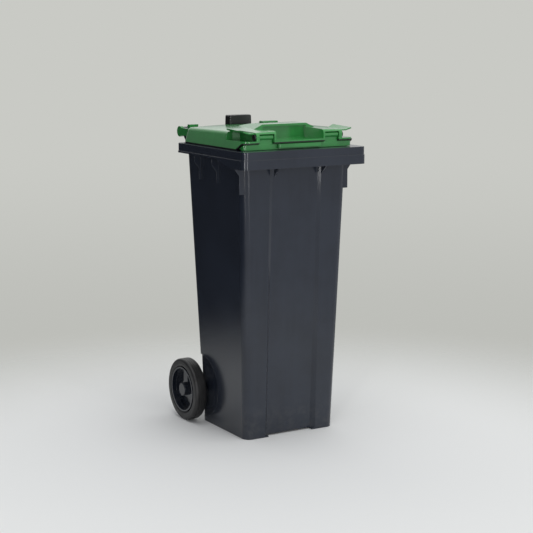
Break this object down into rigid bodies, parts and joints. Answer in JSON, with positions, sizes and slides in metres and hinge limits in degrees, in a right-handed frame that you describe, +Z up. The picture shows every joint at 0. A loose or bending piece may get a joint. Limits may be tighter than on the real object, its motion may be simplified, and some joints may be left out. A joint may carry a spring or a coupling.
{
  "type": "wheelie bin",
  "caption": "Tall tapered two-wheel refuse bin with a hinged crowned lid, front catch strip, comb lifting rim, rear push handle and rubber-tyred wheels.",
  "frame": {"origin": "on the floor under the middle of the bin's bounding box", "axes": "+Z up, -Y is the front with the lifting rim, +Y the handle and wheels, X across the bin along the axle"},
  "size_m": [0.48, 0.5674, 1.08],
  "materials": {
    "tub_plastic": "matte injection-moulded polyethylene, blue-grey",
    "lid_plastic": "satin injection-moulded polyethylene, green",
    "grip_plastic": "matte black polymer",
    "hub_plastic": "satin black polymer",
    "tyre_rubber": "solid black rubber",
    "seal_rubber": "soft black rubber",
    "steel": "zinc-plated steel"
  },
  "bodies": {
    "tub": {"bin_body": "tub_plastic", "rear_grip": "grip_plastic", "grip_screws": "steel", "axle": "steel", "axle_spacer_left": "grip_plastic", "axle_spacer_right": "grip_plastic", "hinge_pin_left": "grip_plastic", "hinge_pin_right": "grip_plastic"},
    "lid": {"lid": "lid_plastic", "lid_seal": "seal_rubber", "catch_pin_left": "grip_plastic", "catch_pin_right": "grip_plastic"},
    "catch": {"front_catch": "lid_plastic"},
    "wheel_left": {"tyre_left": "tyre_rubber", "wheel_hub_left": "hub_plastic", "wheel_latch_left": "grip_plastic", "hub_cap_left": "hub_plastic"},
    "wheel_right": {"tyre_right": "tyre_rubber", "wheel_hub_right": "hub_plastic", "wheel_latch_right": "grip_plastic", "hub_cap_right": "hub_plastic"}
  },
  "joints": [
    {"name": "lid_hinge", "type": "hinge", "parent": "tub", "child": "lid", "pos_m": [0, 0.26525, 1.022], "axis": [-1, 0, 0], "range_deg": [0, 270]},
    {"name": "catch_hinge", "type": "hinge", "parent": "lid", "child": "catch", "pos_m": [0, -0.23175, 1.032], "axis": [-1, 0, 0], "range_deg": [0, 12]},
    {"name": "wheel_spin_left", "type": "hinge", "parent": "tub", "child": "wheel_left", "pos_m": [-0.2175, 0.16225, 0.11], "axis": [1, 0, 0], "continuous": true},
    {"name": "wheel_spin_right", "type": "hinge", "parent": "tub", "child": "wheel_right", "pos_m": [0.2175, 0.16225, 0.11], "axis": [1, 0, 0], "continuous": true}
  ]
}
